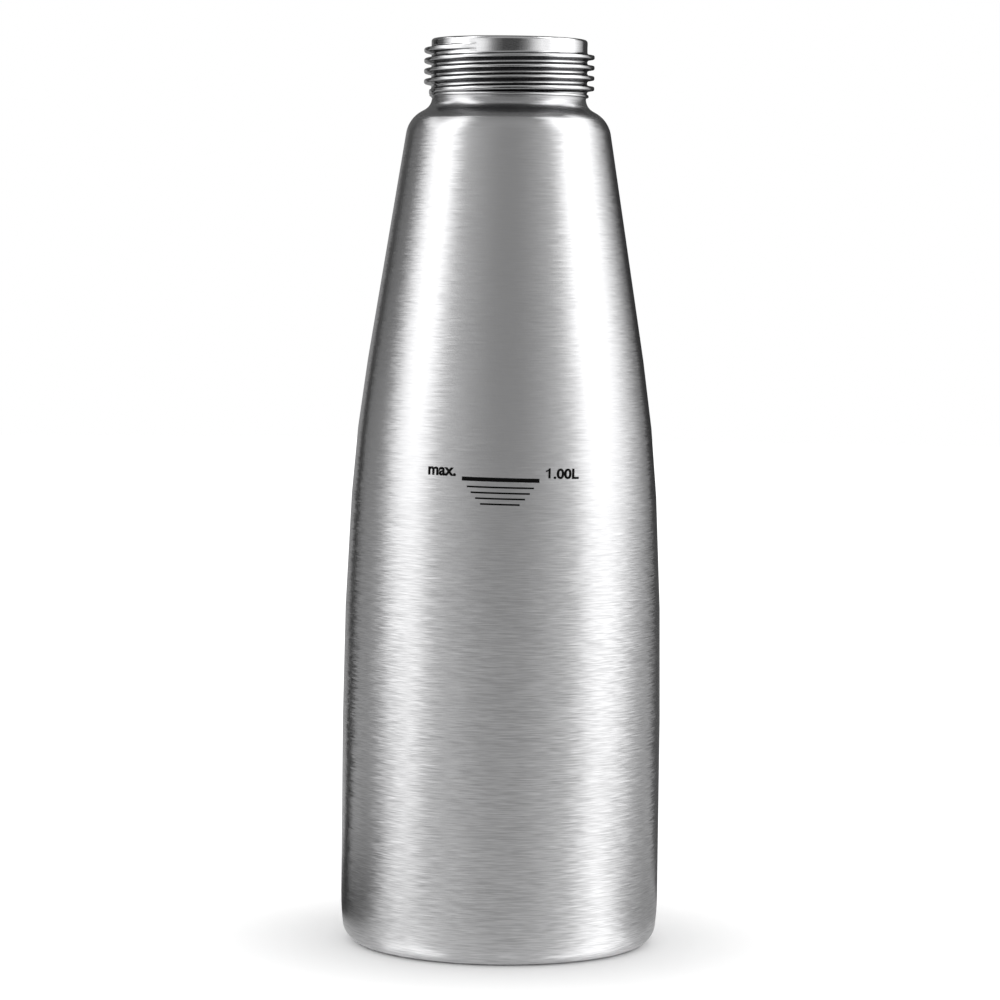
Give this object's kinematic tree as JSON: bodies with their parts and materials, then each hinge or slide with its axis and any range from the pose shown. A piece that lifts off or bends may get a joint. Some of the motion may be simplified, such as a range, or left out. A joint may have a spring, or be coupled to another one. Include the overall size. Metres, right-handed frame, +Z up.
{
  "type": "whipped cream dispenser bottle",
  "caption": "Tall stainless pressure bottle of a cream whipper: tapering brushed body, threaded neck with sealing lip, dished base.",
  "frame": {"origin": "centre of the ring that the bottle stands on", "axes": "+Z up along the bottle's axis, towards the mouth"},
  "size_m": [0.098, 0.098, 0.278],
  "materials": {
    "brushed_shell": "brushed round the axis, satin",
    "polished_neck": "turned and polished bright",
    "pressed_base": "pressed, mill satin",
    "black_mark": "thin black printed ink"
  },
  "bodies": {
    "root": {"body_shell": "brushed_shell", "neck_ring": "polished_neck", "base_plate": "pressed_base"}
  },
  "joints": []
}
